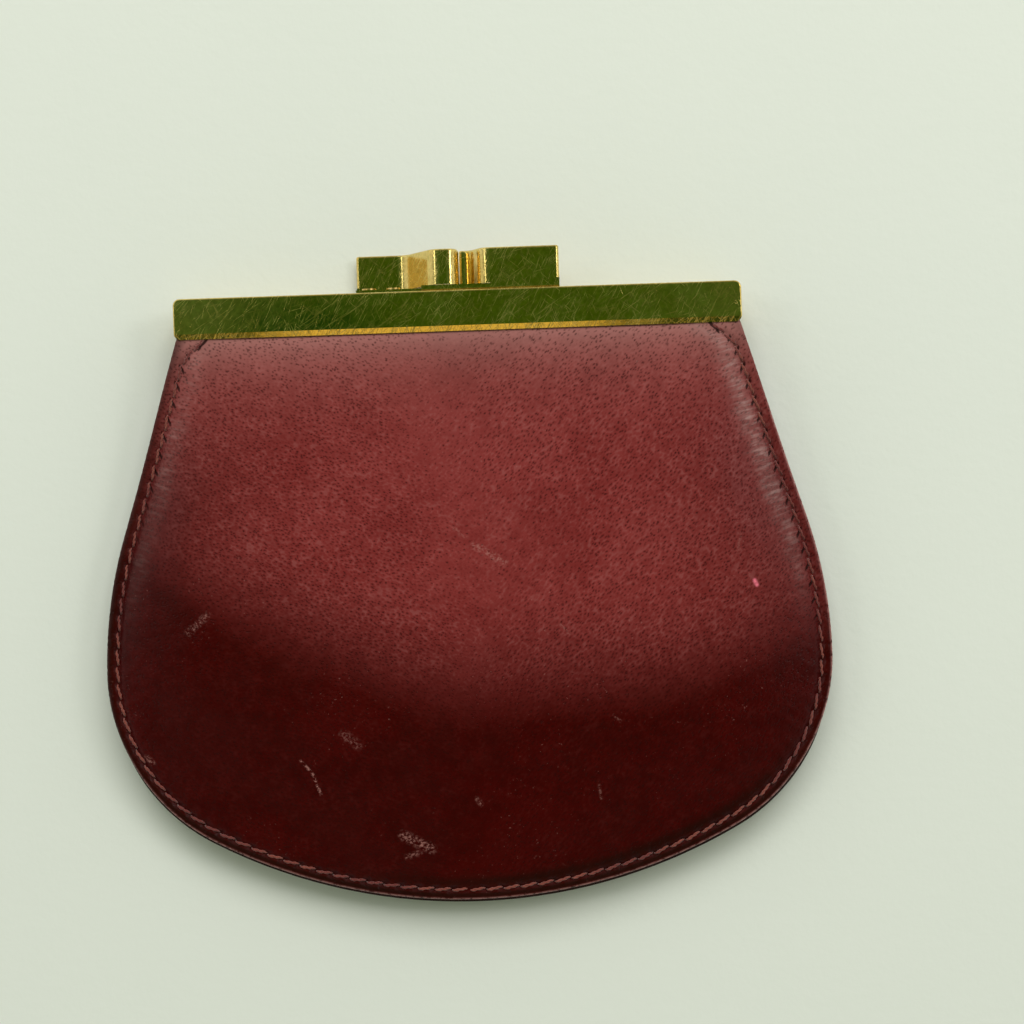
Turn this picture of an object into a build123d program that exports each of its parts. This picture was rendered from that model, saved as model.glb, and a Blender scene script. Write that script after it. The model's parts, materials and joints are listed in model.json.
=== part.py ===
"""Flat leather coin purse on a straight brass frame, lying on its back.

X runs along the frame, Y from the pouch's rounded bottom up to the clasp, Z up out of the table.
The purse is two mirrored halves that meet at the mid plane: "front" is the upper half and "rear"
the lower one. Heights called h are measured from the mid plane, and drops are measured down the
pouch from the lower edge of the frame bars. All sizes are in millimetres.
"""

from build123d import *
from math import atan2, cos, degrees, hypot, radians, sin, tan
import os

# ---- driving dimensions: frame bars ----
BAR_LENGTH = 75.0
BAR_HEIGHT = 5.4
BAR_DEPTH = 4.4
BAR_GAP = 0.2
BAR_WALL = 0.5
BAR_EDGE_RADIUS = 0.22
BAR_CORNER_RADIUS = 0.9
BEVEL_WIDTH = 0.7
BEVEL_FALL = 0.36

# ---- driving dimensions: pouch outline ----
TOP_HALF_WIDTH = 37.3
FLARE_DEG = 17.5
WIDEST_HALF = 48.3
WIDEST_DROP = 44.4
POUCH_DROP = 75.8
BOTTOM_RADIUS = 73.0

# ---- driving dimensions: leather ----
LEATHER = 1.1
LINING = 0.45
FLANGE_WIDTH = 2.3
FLANK_WIDTH = 3.0
FLANGE_H = 1.6
BAR_SLOT_H = 3.95
CHANNEL_CLEARANCE = 0.05

# ---- driving dimensions: hinge and frame strips ----
HINGE_DROP = 21.0
STRIP_THICK = 0.9
STRIP_WIDTH = 1.65
STRIP_BASE_H = 0.7
FRONT_STRIP_HALF = 34.8
STRIP_SIDE_GAP = 0.1
STRIP_BEND_RADIUS = 1.6
EYE_RADIUS = 2.1
EYE_LINK = 4.0
PIN_RADIUS = 1.0
FIXED_FIT = 0.02
RUNNING_FIT = 0.05
PIN_HEAD_RADIUS = 1.7
PIN_HEAD_THICK = 0.5

# ---- driving dimensions: clasp ----
TAB_TOTAL = 5.6
TAB_THICK = 0.8
TAB_H = 3.0
TAB_REACH = 13.6
TAB_LIFT = 0.9
FOOT_THICK = 0.83
FOOT_EDGE_H = 0.4
FRONT_TAB_BENDS = [1.4, 1.6]
REAR_TAB_BENDS = [2.2, 1.4, 1.1]
TAB_EDGE_RADIUS = 0.26
HEEL_RADIUS = 0.35
RIVET_RADIUS = 0.6
RIVET_HEAD_RADIUS = 0.95
RIVET_HEAD_THICK = 0.25
# middle lines of the bent tabs and places of their rivets, as (x, h)
FRONT_TAB_PATH = [(TAB_REACH - TAB_THICK / 2, TAB_H), (3.55, TAB_H), (1.92, -0.2), (0.73, -0.2)]
REAR_TAB_PATH = [
    (TAB_THICK / 2 - TAB_REACH, -TAB_H),
    (-6.75, -TAB_H),
    (-3.05, TAB_H),
    (-0.3, TAB_H),
    (-0.1, 1.1),
]
FRONT_FOOT_LOW_X = -4.7
FRONT_SKIRT_LOW_X = 4.45
REAR_FOOT_HIGH_X = -4.6
REAR_SKIRT_HIGH_X = -8.1
FRONT_RIVETS = [(5.6, 1.65), (11.0, 1.65)]
REAR_RIVETS = [(-11.9, 1.65), (-8.6, 1.65)]

# ---- driving dimensions: gussets, fold and seam ----
GUSSET = 0.45
GUSSET_DEPTH = 13.0
GUSSET_DROP = 18.5
GUSSET_BAR_GAP = 0.3
FOLD_ABOVE = 0.3
FOLD_BELOW = 3.6
LINING_FOLD_BELOW = 4.2
STITCH_INSET = 1.7
STITCH_PITCH = 2.3
STITCH_LENGTH = 1.6
STITCH_RADIUS = 0.22

# ---- positions worked out from the sizes above ----
MID_Z = BAR_DEPTH + BAR_GAP / 2
OVERALL_Y = POUCH_DROP + BAR_HEIGHT + TAB_TOTAL
BAR_Y = OVERALL_Y / 2 - TAB_TOTAL - BAR_HEIGHT
BAR_TOP_Y = BAR_Y + BAR_HEIGHT
HINGE_Y = BAR_Y - HINGE_DROP
FLARE = radians(FLARE_DEG)
CROWN_H = MID_Z
BAR_INNER_H = BAR_GAP / 2
SLOT_LOW_H = BAR_INNER_H + BAR_WALL
SLOT_HIGH_H = CROWN_H - BAR_WALL
SLOT_HALF = BAR_LENGTH / 2 - BAR_WALL
SLOT_TOP_Y = BAR_TOP_Y - BAR_WALL
TONGUE_TOP_Y = SLOT_TOP_Y - 0.9
REAR_STRIP_HALF = FRONT_STRIP_HALF + STRIP_THICK + STRIP_SIDE_GAP
WIDEST_Y = BAR_Y - WIDEST_DROP
POUCH_BOTTOM_Y = BAR_Y - POUCH_DROP
MID_PLANE = Plane.XY.offset(MID_Z)


def side_radii():
    """Radii of the two side arcs, tangent to the flared side and to the round bottom."""
    rise = WIDEST_DROP * tan(FLARE) - (WIDEST_HALF - TOP_HALF_WIDTH)
    upper = rise / (sin(FLARE) * tan(FLARE) - (1 - cos(FLARE)))
    drop = WIDEST_Y - (POUCH_BOTTOM_Y + BOTTOM_RADIUS)
    lower = (BOTTOM_RADIUS**2 - WIDEST_HALF**2 - drop**2) / (2 * (BOTTOM_RADIUS - WIDEST_HALF))
    return upper, lower


UPPER_RADIUS, LOWER_RADIUS = side_radii()
UPPER_CENTRE = (WIDEST_HALF - UPPER_RADIUS, WIDEST_Y)
LOWER_CENTRE = (WIDEST_HALF - LOWER_RADIUS, WIDEST_Y)
BOTTOM_CENTRE = (0.0, POUCH_BOTTOM_Y + BOTTOM_RADIUS)
LOWER_END_DEG = degrees(atan2(LOWER_CENTRE[1] - BOTTOM_CENTRE[1], LOWER_CENTRE[0]))


def edge_x(drop):
    """Half width of the flared part of the outline at a drop below the bars."""
    return TOP_HALF_WIDTH + drop * tan(FLARE)


def on_arc(centre, radius, angle_deg):
    """Point of a circle at an angle from +X."""
    angle = radians(angle_deg)
    return centre[0] + radius * cos(angle), centre[1] + radius * sin(angle)


def flipped(point):
    """The same point on the left side of the purse."""
    return -point[0], point[1]


def outline_face(inset, h, drop_top):
    """Face inside the pouch outline, moved in by inset, with a straight top at drop_top."""
    start = (edge_x(drop_top) - inset / cos(FLARE), BAR_Y - drop_top)
    upper = UPPER_RADIUS - inset
    lower = LOWER_RADIUS - inset
    flare_end = on_arc(UPPER_CENTRE, upper, FLARE_DEG)
    upper_mid = on_arc(UPPER_CENTRE, upper, FLARE_DEG / 2)
    widest = (WIDEST_HALF - inset, WIDEST_Y)
    lower_mid = on_arc(LOWER_CENTRE, lower, LOWER_END_DEG / 2)
    lower_end = on_arc(LOWER_CENTRE, lower, LOWER_END_DEG)
    bottom = (0.0, POUCH_BOTTOM_Y + inset)
    edges = [
        Line(start, flare_end),
        ThreePointArc(flare_end, upper_mid, widest),
        ThreePointArc(widest, lower_mid, lower_end),
        ThreePointArc(lower_end, bottom, flipped(lower_end)),
        ThreePointArc(flipped(lower_end), flipped(lower_mid), flipped(widest)),
        ThreePointArc(flipped(widest), flipped(upper_mid), flipped(flare_end)),
        Line(flipped(flare_end), flipped(start)),
        Line(flipped(start), start),
    ]
    return make_face(Wire(edges)).moved(Location((0, 0, MID_Z + h)))


def dome(inset_low, h_low, inset_high, h_high, drop_top):
    """Solid between two inset outlines at two heights."""
    low = outline_face(inset_low, h_low, drop_top)
    high = outline_face(inset_high, h_high, drop_top)
    return loft([low, high], ruled=True)


def slab(inset, h_low, h_high, drop_top):
    """Flat plate of the inset outline."""
    return extrude(outline_face(inset, h_low, drop_top), amount=h_high - h_low)


def section(drop, points):
    """Face in the cross plane at a drop, from right-hand (x, h) points outside then inside."""
    y = BAR_Y - drop
    outer, inner = points
    right = [(x, y, MID_Z + h) for x, h in outer]
    left = [(-x, y, MID_Z + h) for x, h in outer]
    right_in = [(x, y, MID_Z + h) for x, h in inner]
    left_in = [(-x, y, MID_Z + h) for x, h in inner]
    return make_face(Polyline(*left, *reversed(right), *right_in, *reversed(left_in), close=True))


def panel_points(drop, share):
    """Outside and inside points of the front panel: share 0 in the bar, 1 at the fold."""
    edge = edge_x(drop)
    flange_h = BAR_SLOT_H + (FLANGE_H - BAR_SLOT_H) * share
    crown_h = BAR_SLOT_H + (CROWN_H - BAR_SLOT_H) * share
    foot = FLANGE_WIDTH / cos(FLARE)
    flank = FLANK_WIDTH / cos(FLARE)
    step = LEATHER / cos(FLARE) * share
    outer = [(edge, flange_h), (edge - foot, flange_h), (edge - foot - flank, crown_h)]
    inner = [(x - (step if i else 0), h - LEATHER) for i, (x, h) in enumerate(outer)]
    return outer, inner


def panel_span(drop_a, share_a, drop_b, share_b):
    """Length of front panel between two cross sections."""
    first = section(drop_a, panel_points(drop_a, share_a))
    second = section(drop_b, panel_points(drop_b, share_b))
    return loft([first, second], ruled=True)


def lining_points(drop, share):
    """Flat lining under the crown of the front panel."""
    outer, inner = panel_points(drop, share)
    x, h = inner[2]
    return [(x, h)], [(x, h - LINING)]


def lining_span(drop_a, share_a, drop_b, share_b):
    """Length of front lining between two cross sections."""
    first = section(drop_a, lining_points(drop_a, share_a))
    second = section(drop_b, lining_points(drop_b, share_b))
    return loft([first, second], ruled=True)


def box_between(low, high):
    """Box between two corners, with heights from the mid plane."""
    size = [high[i] - low[i] for i in range(3)]
    centre = [(high[i] + low[i]) / 2 for i in range(3)]
    return Pos(centre[0], centre[1], MID_Z + centre[2]) * Box(*size)


def to_rear(shape):
    """The mirrored half below the mid plane."""
    return mirror(shape, about=MID_PLANE)


# ---- leather and lining ----
FOLD_DROP_TOP = HINGE_DROP - FOLD_ABOVE
FOLD_DROP_LOW = HINGE_DROP + FOLD_BELOW
FLANK_END = FLANGE_WIDTH + FLANK_WIDTH
CROWN_IN_H = CROWN_H - LEATHER
FLANGE_IN_H = FLANGE_H - LEATHER


def channel_tongue(h_low, h_high):
    """Edge of a sheet that is held inside the brass bar."""
    half = SLOT_HALF - 4 * CHANNEL_CLEARANCE
    return box_between((-half, BAR_Y, h_low), (half, TONGUE_TOP_Y, h_high))


def panel_upper():
    """Front leather from the fold up into the bar."""
    skin = panel_span(0, 0, FOLD_DROP_TOP, 1)
    return skin + channel_tongue(BAR_SLOT_H - LEATHER, BAR_SLOT_H)


def panel_fold():
    """Band of front leather that bends beside the hinge."""
    return panel_span(FOLD_DROP_TOP, 1, FOLD_DROP_LOW, 1)


def panel_lower():
    """Front leather of the pouch: a sewn flange and a crowned middle."""
    flange = slab(0, FLANGE_IN_H, FLANGE_H, FOLD_DROP_LOW)
    crown = dome(FLANGE_WIDTH, FLANGE_H, FLANK_END, CROWN_H, FOLD_DROP_LOW)
    hollow = dome(FLANGE_WIDTH + LEATHER, FLANGE_IN_H, FLANK_END + LEATHER, CROWN_IN_H, FOLD_DROP_LOW)
    return flange + crown - hollow


def lining_lower(drop_top):
    """Front lining of the pouch, from the mid plane up to the leather."""
    sheet = slab(FLANGE_WIDTH / 2, 0, FLANGE_IN_H, drop_top)
    crown = dome(FLANGE_WIDTH + LEATHER, FLANGE_IN_H, FLANK_END + LEATHER, CROWN_IN_H, drop_top)
    inset = FLANGE_WIDTH + LEATHER + LINING
    hollow = dome(inset, 0, inset + FLANK_WIDTH + LINING, CROWN_IN_H - LINING, drop_top)
    return sheet + crown - hollow


def lining_upper():
    """Front lining above the fold, up into the bar."""
    plate = lining_span(0, 0, FOLD_DROP_TOP, 1)
    return plate + channel_tongue(BAR_SLOT_H - LEATHER - LINING, BAR_SLOT_H - LEATHER)


def lining_fold():
    """Band of front lining beside the hinge."""
    return lining_span(FOLD_DROP_TOP, 1, HINGE_DROP + LINING_FOLD_BELOW, 1)


# ---- frame ----
def bar_bevel():
    """Waste removed along the bar's lower edge to bevel it."""
    face_z = MID_Z + CROWN_H
    over = face_z + BEVEL_FALL
    low_y, high_y = BAR_Y - BEVEL_WIDTH, BAR_Y + BEVEL_WIDTH
    profile = [(high_y, face_z), (low_y, face_z - 2 * BEVEL_FALL), (low_y, over), (high_y, over)]
    waste = make_face(Polyline(*[(-BAR_LENGTH, y, z) for y, z in profile], close=True))
    return extrude(waste, amount=2 * BAR_LENGTH, dir=(1, 0, 0))


def bar():
    """Front brass bar: a closed-ended channel with its open side towards the pouch."""
    half = BAR_LENGTH / 2
    body = box_between((-half, BAR_Y, BAR_INNER_H), (half, BAR_TOP_Y, CROWN_H))
    body = fillet(body.edges().filter_by(Axis.Z), BAR_CORNER_RADIUS)
    body = fillet(body.edges().group_by(Axis.Z)[-1], BAR_EDGE_RADIUS)
    slot = box_between((-SLOT_HALF, BAR_Y - 1, SLOT_LOW_H), (SLOT_HALF, SLOT_TOP_Y, SLOT_HIGH_H))
    return body - bar_bevel() - slot


def frame_strip(half, bore_radius):
    """Steel strip bent to a U: its top lies in the bar and its legs end in hinge eyes."""
    top = STRIP_BASE_H + STRIP_WIDTH
    top_y = TONGUE_TOP_Y
    web = box_between((-half, top_y - STRIP_THICK, STRIP_BASE_H), (half, top_y, top))
    profile = [
        (0, HINGE_Y + EYE_LINK, STRIP_BASE_H),
        (0, top_y, STRIP_BASE_H),
        (0, top_y, top),
        (0, HINGE_Y + EYE_LINK, top),
        (0, HINGE_Y, EYE_RADIUS),
        (0, HINGE_Y - EYE_RADIUS / 2, 0),
        (0, HINGE_Y + EYE_RADIUS / 2, -EYE_RADIUS / 2),
    ]
    points = [(x, y, MID_Z + h) for x, y, h in profile]
    leg = extrude(make_face(Polyline(*points, close=True)), amount=STRIP_THICK, dir=(1, 0, 0))
    axis = Location((0, HINGE_Y, MID_Z), (0, 90, 0))
    eye = axis * Cylinder(EYE_RADIUS, STRIP_THICK, align=(Align.CENTER, Align.CENTER, Align.MIN))
    bore = axis * Cylinder(bore_radius, 4 * STRIP_THICK)
    leg = leg + eye - bore
    strip = web + Pos(half - STRIP_THICK, 0, 0) * leg + Pos(-half, 0, 0) * leg
    corners = strip.edges().filter_by(Axis.Z).group_by(Axis.Y)[-1]
    return fillet(corners, STRIP_BEND_RADIUS)


def hinge_rivet(side):
    """Headed pin through both eyes on one side, 1 for right and -1 for left."""
    inner = FRONT_STRIP_HALF - STRIP_THICK - STRIP_SIDE_GAP / 2
    outer = REAR_STRIP_HALF + STRIP_SIDE_GAP / 2
    shank = Cylinder(PIN_RADIUS, outer - inner, align=(Align.CENTER, Align.CENTER, Align.MIN))
    head = Cylinder(PIN_HEAD_RADIUS, PIN_HEAD_THICK, align=(Align.CENTER, Align.CENTER, Align.MIN))
    head = fillet(head.edges().sort_by(Axis.Z)[-1], PIN_HEAD_THICK / 2)
    pin = shank + Pos(0, 0, outer - inner) * head + mirror(head, about=Plane.XY)
    place = Location((side * inner, HINGE_Y, MID_Z), (0, side * 90, 0))
    return place * pin


# ---- clasp ----
def tab_strip(path_points, bends, y_low, y_high):
    """Strip of sheet that follows a path of (x, h) points, standing between two Y values."""
    path = FilletPolyline(*path_points, radius=bends)
    face = make_face(offset(path, amount=TAB_THICK / 2, side=Side.BOTH))
    upright = Plane(origin=(0, y_low, MID_Z), x_dir=(1, 0, 0), z_dir=(0, -1, 0))
    strip = extrude(upright * face, amount=y_low - y_high)
    return fillet(strip.edges().group_by(Axis.Y)[-1], TAB_EDGE_RADIUS)


def tab_foot(x_low, x_high, skirt_low, skirt_high):
    """Foot on top of the front bar, with a skirt that rises from its outer edge to the grip."""
    outer_h = TAB_H + TAB_THICK / 2
    inner_h = TAB_H - TAB_THICK / 2
    plate_top = BAR_TOP_Y + FOOT_THICK
    skirt_top = BAR_TOP_Y + TAB_LIFT + TAB_THICK / 2
    plate = box_between((x_low, BAR_TOP_Y, FOOT_EDGE_H), (x_high, plate_top, outer_h))
    skirt = box_between((skirt_low, BAR_TOP_Y, inner_h), (skirt_high, skirt_top, outer_h))
    heel = (plate + skirt).edges().filter_by(Axis.X).group_by(Axis.Y)[0].sort_by(Axis.Z)[-1]
    return fillet(heel, HEEL_RADIUS)


def rivets(places, h_sign):
    """Round-headed rivets that hold a clasp foot to the top of its bar."""
    found = []
    for x, h in places:
        head_y = BAR_TOP_Y + FOOT_THICK
        tail_y = SLOT_TOP_Y - RIVET_HEAD_THICK
        axis = Location((x, tail_y, MID_Z + h_sign * h), (-90, 0, 0))
        length = head_y + RIVET_HEAD_THICK - tail_y
        base = (Align.CENTER, Align.CENTER, Align.MIN)
        tail = Cylinder(RIVET_HEAD_RADIUS, RIVET_HEAD_THICK, align=base)
        shank = Cylinder(RIVET_RADIUS, length, align=base)
        head = Pos(0, 0, length - RIVET_HEAD_THICK) * Cylinder(
            RIVET_HEAD_RADIUS, RIVET_HEAD_THICK, align=base
        )
        found.append(axis * (tail + shank + head))
    return found


def drilled(shape, places, h_sign):
    """Shape with a hole for each rivet."""
    for x, h in places:
        hole = Location((x, BAR_TOP_Y, MID_Z + h_sign * h), (-90, 0, 0)) * Cylinder(
            RIVET_RADIUS + FIXED_FIT, 4 * BAR_WALL
        )
        shape = shape - hole
    return shape


def front_tab():
    """Clasp tab of the front bar: a long grip that turns back at its inner end."""
    grip = tab_strip(FRONT_TAB_PATH, FRONT_TAB_BENDS, BAR_TOP_Y + TAB_LIFT, BAR_TOP_Y + TAB_TOTAL)
    foot = tab_foot(FRONT_FOOT_LOW_X, TAB_REACH, FRONT_SKIRT_LOW_X, TAB_REACH)
    return drilled(grip + foot, FRONT_RIVETS, 1)


def rear_tab():
    """Clasp tab of the rear bar: a short grip, and a hook that crosses over the front bar."""
    hook = tab_strip(REAR_TAB_PATH, REAR_TAB_BENDS, BAR_TOP_Y + TAB_LIFT, BAR_TOP_Y + TAB_TOTAL)
    foot = to_rear(tab_foot(-TAB_REACH, REAR_FOOT_HIGH_X, -TAB_REACH, REAR_SKIRT_HIGH_X))
    return drilled(hook + foot, REAR_RIVETS, -1)


# ---- gussets ----
def gusset_section(drop, depth, height):
    """L-shaped right-hand section of the front gusset leaf."""
    y = BAR_Y - drop
    edge = edge_x(drop) - GUSSET_BAR_GAP
    low = CHANNEL_CLEARANCE
    top = low + GUSSET
    points = [
        (edge - depth, low),
        (edge, low),
        (edge, height),
        (edge - GUSSET, height),
        (edge - GUSSET, top),
        (edge - depth, top),
    ]
    return make_face(Polyline(*[(x, y, MID_Z + h) for x, h in points], close=True))


def gusset_leaf(side):
    """Front half of a side gusset, folded flat: 1 for right and -1 for left."""
    bar_h = BAR_SLOT_H - LEATHER - CHANNEL_CLEARANCE
    fall = (BAR_SLOT_H - FLANGE_H) / FOLD_DROP_TOP
    sections = [
        gusset_section(GUSSET_BAR_GAP, GUSSET_DEPTH, bar_h - fall * GUSSET_BAR_GAP),
        gusset_section(GUSSET_DROP, 3 * GUSSET, bar_h - fall * GUSSET_DROP),
    ]
    leaf = loft(sections, ruled=True)
    return leaf if side > 0 else mirror(leaf, about=Plane.YZ)


# ---- stitches ----
def flange_height(drop):
    """Height of the leather's sewn edge above the mid plane."""
    share = min(max(drop / FOLD_DROP_TOP, 0), 1)
    return BAR_SLOT_H + (FLANGE_H - BAR_SLOT_H) * share


def seam_points():
    """Stitch centres down the right side and round to the middle of the bottom."""
    inset = STITCH_INSET
    upper = UPPER_RADIUS - inset
    lower = LOWER_RADIUS - inset
    bottom = BOTTOM_RADIUS - inset
    start = (edge_x(0) - inset / cos(FLARE), BAR_Y)
    flare_end = on_arc(UPPER_CENTRE, upper, FLARE_DEG)
    straight = hypot(flare_end[0] - start[0], flare_end[1] - start[1])
    arcs = [
        (UPPER_CENTRE, upper, FLARE_DEG, 0.0),
        (LOWER_CENTRE, lower, 0.0, LOWER_END_DEG),
        (BOTTOM_CENTRE, bottom, LOWER_END_DEG, -90.0),
    ]
    lengths = [straight] + [radius * radians(a - b) for _, radius, a, b in arcs]
    count = round(sum(lengths) / STITCH_PITCH - 0.5)
    pitch = sum(lengths) / (count + 0.5)
    found = []
    for i in range(count):
        along = (i + 1) * pitch
        if along <= straight:
            share = along / straight
            x = start[0] + share * (flare_end[0] - start[0])
            y = start[1] + share * (flare_end[1] - start[1])
            found.append((x, y, FLARE_DEG - 90))
            continue
        along -= straight
        for (centre, radius, a, b), length in zip(arcs, lengths[1:]):
            if along <= length:
                angle = a + (b - a) * along / length
                found.append((*on_arc(centre, radius, angle), angle - 90))
                break
            along -= length
    return found


def stitches(keep):
    """Right and left stitches on the front face whose Y passes the test."""
    found = []
    for x, y, heading in seam_points():
        if not keep(y):
            continue
        h = flange_height(BAR_Y - y) + STITCH_RADIUS + CHANNEL_CLEARANCE
        slope = -degrees(atan2(BAR_SLOT_H - FLANGE_H, FOLD_DROP_TOP)) if y > HINGE_Y else 0.0
        rod = Rot(0, 90 - slope, 0) * Cylinder(STITCH_RADIUS, STITCH_LENGTH)
        stitch = Location((x, y, MID_Z + h), (0, 0, heading)) * rod
        found += [stitch, mirror(stitch, about=Plane.YZ)]
    return found


def build():
    """Every sub-part by node name."""
    upper_panel = panel_upper()
    fold_panel = panel_fold()
    lower_panel = panel_lower()
    full_lining = lining_lower(HINGE_DROP + LINING_FOLD_BELOW)
    brass_bar = bar()
    upper_stitches = stitches(lambda y: BAR_Y - GUSSET_BAR_GAP > y > HINGE_Y)
    lower_stitches = stitches(lambda y: y < HINGE_Y - FOLD_BELOW)
    fold_stitches = stitches(lambda y: HINGE_Y >= y >= HINGE_Y - FOLD_BELOW)
    rear_stitches = [to_rear(s) for s in upper_stitches + fold_stitches + lower_stitches]
    return {
        "front_bar": drilled(brass_bar, FRONT_RIVETS, 1),
        "rear_bar": drilled(to_rear(brass_bar), REAR_RIVETS, -1),
        "front_frame_strip": frame_strip(FRONT_STRIP_HALF, PIN_RADIUS + RUNNING_FIT),
        "rear_frame_strip": to_rear(frame_strip(REAR_STRIP_HALF, PIN_RADIUS + FIXED_FIT)),
        "right_hinge_rivet": hinge_rivet(1),
        "left_hinge_rivet": hinge_rivet(-1),
        "front_clasp_tab": front_tab(),
        "rear_clasp_tab": rear_tab(),
        "front_clasp_rivets": Compound(rivets(FRONT_RIVETS, 1)),
        "rear_clasp_rivets": Compound(rivets(REAR_RIVETS, -1)),
        "front_panel_upper": upper_panel,
        "front_panel_fold": fold_panel,
        "front_panel_lower": lower_panel,
        "rear_panel": to_rear(upper_panel + fold_panel + lower_panel),
        "front_lining_upper": lining_upper(),
        "front_lining_fold": lining_fold(),
        "front_lining_lower": full_lining,
        "rear_lining": to_rear(lining_upper() + lining_fold() + full_lining),
        "right_gusset_front_leaf": gusset_leaf(1),
        "left_gusset_front_leaf": gusset_leaf(-1),
        "right_gusset_rear_leaf": to_rear(gusset_leaf(1)),
        "left_gusset_rear_leaf": to_rear(gusset_leaf(-1)),
        "front_upper_stitches": Compound(upper_stitches),
        "front_fold_stitches": Compound(fold_stitches),
        "front_lower_stitches": Compound(lower_stitches),
        "rear_stitches": Compound(rear_stitches),
    }


os.makedirs("parts", exist_ok=True)
for node, shape in build().items():
    export_step(shape, f"parts/{node}.step")
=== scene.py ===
"""Looks for the leather coin purse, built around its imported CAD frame.

The purse lies on its back: X runs along the bars, Y from the round bottom up to the clasp, Z up.
Lengths are in millimetres up to the point where a mesh, light or camera is made. Heights called h
are measured from the mid plane between the two bars, and drops down the pouch from the bars.
"""
import json
from math import atan2, cos, hypot, pi, radians, sin, tan

import bmesh
import bpy
import numpy as np
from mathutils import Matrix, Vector, noise


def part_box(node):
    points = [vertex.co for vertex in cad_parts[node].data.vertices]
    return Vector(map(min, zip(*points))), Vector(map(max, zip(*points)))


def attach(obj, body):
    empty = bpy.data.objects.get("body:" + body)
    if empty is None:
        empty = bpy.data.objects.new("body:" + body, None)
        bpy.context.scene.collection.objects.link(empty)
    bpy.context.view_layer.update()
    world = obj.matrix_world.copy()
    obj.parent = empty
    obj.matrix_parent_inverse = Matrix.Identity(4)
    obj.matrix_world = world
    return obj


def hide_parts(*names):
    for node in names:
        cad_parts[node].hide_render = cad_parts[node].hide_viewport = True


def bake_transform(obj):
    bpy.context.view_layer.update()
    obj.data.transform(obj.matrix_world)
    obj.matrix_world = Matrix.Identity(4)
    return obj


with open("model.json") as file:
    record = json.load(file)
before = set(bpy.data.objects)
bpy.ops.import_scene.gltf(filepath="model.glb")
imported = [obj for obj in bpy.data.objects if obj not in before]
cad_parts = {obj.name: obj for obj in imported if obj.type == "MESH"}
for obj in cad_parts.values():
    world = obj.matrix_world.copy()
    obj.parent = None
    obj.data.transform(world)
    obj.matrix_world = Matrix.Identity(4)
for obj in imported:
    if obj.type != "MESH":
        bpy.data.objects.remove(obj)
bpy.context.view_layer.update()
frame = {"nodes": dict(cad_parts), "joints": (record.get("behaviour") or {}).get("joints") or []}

MM = 0.001

# ---- places read from the frame ----
BAR_LOW, BAR_HIGH = (np.array(corner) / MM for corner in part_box("front_bar"))
HINGE = np.array(frame["joints"][0]["pos_m"]) / MM
MID_Z = HINGE[2]
HINGE_Y = HINGE[1]
BAR_Y = BAR_LOW[1]
BAR_TOP_Y = BAR_HIGH[1]
HINGE_DROP = BAR_Y - HINGE_Y

# ---- pouch outline, as in the CAD ----
TOP_HALF_WIDTH = 37.3
FLARE = radians(17.5)
WIDEST_HALF = 48.3
WIDEST_DROP = 44.4
POUCH_DROP = 75.8
BOTTOM_RADIUS = 73.0
WIDEST_Y = BAR_Y - WIDEST_DROP
BOTTOM_Y = BAR_Y - POUCH_DROP

# ---- leather ----
LEATHER = 1.1
LINING = 0.4
SLOT_H = 3.95
FLANGE_H = 1.6
REAR_FACE_H = MID_Z
TUCK = 1.0
STITCH_INSET = 1.65
STITCH_PITCH = 2.3
STITCH_RADIUS = 0.2
FRONT_TRIM = 0.3
REAR_TRIM = -0.45
TRIM_DROPS = (44, 60)
TRIM_REACH = 2.6
BOTTOM_DROPS = (48, 66)
GUSSET_DEPTH = 13.0
GUSSET_DROP = 18.5
GUSSET_SHEET = 0.3
GUSSET_GAP = 0.12


# ======== the outline ========
def side_arcs():
    """Radii of the two side arcs that join the flare, the widest point and the round bottom."""
    rise = WIDEST_DROP * tan(FLARE) - (WIDEST_HALF - TOP_HALF_WIDTH)
    upper = rise / (sin(FLARE) * tan(FLARE) - (1 - cos(FLARE)))
    drop = WIDEST_Y - (BOTTOM_Y + BOTTOM_RADIUS)
    lower = (BOTTOM_RADIUS**2 - WIDEST_HALF**2 - drop**2) / (2 * (BOTTOM_RADIUS - WIDEST_HALF))
    return upper, lower


UPPER_RADIUS, LOWER_RADIUS = side_arcs()
UPPER_CENTRE = np.array((WIDEST_HALF - UPPER_RADIUS, WIDEST_Y))
LOWER_CENTRE = np.array((WIDEST_HALF - LOWER_RADIUS, WIDEST_Y))
BOTTOM_CENTRE = np.array((0.0, BOTTOM_Y + BOTTOM_RADIUS))
LOWER_END = atan2(LOWER_CENTRE[1] - BOTTOM_CENTRE[1], LOWER_CENTRE[0])


def edge_x(drop):
    """Half width of the flared part of the outline."""
    return TOP_HALF_WIDTH + drop * np.tan(FLARE)


def half_outline(inset, count, top_y=BAR_Y):
    """Evenly spaced points down the right side at an inset, from top_y to the middle of the bottom."""
    start = np.array((edge_x(BAR_Y - top_y) - inset / cos(FLARE), top_y))
    normal = np.array((cos(FLARE), sin(FLARE)))
    flare_end = UPPER_CENTRE + (UPPER_RADIUS - inset) * normal
    straight = np.hypot(*(flare_end - start))
    arcs = [
        (UPPER_CENTRE, UPPER_RADIUS - inset, FLARE, 0.0),
        (LOWER_CENTRE, LOWER_RADIUS - inset, 0.0, LOWER_END),
        (BOTTOM_CENTRE, BOTTOM_RADIUS - inset, LOWER_END, -pi / 2),
    ]
    lengths = [straight] + [radius * (a - b) for _, radius, a, b in arcs]
    ends = np.cumsum([0.0] + lengths)
    along = np.linspace(0, ends[-1], count)
    points = start + np.outer(along / straight, flare_end - start)
    for i, (centre, radius, a, b) in enumerate(arcs):
        on_it = along > ends[i + 1]
        angle = a + (b - a) * (along[on_it] - ends[i + 1]) / lengths[i + 1]
        points[on_it] = centre + radius * np.stack((np.cos(angle), np.sin(angle)), axis=1)
    return points, along


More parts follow.
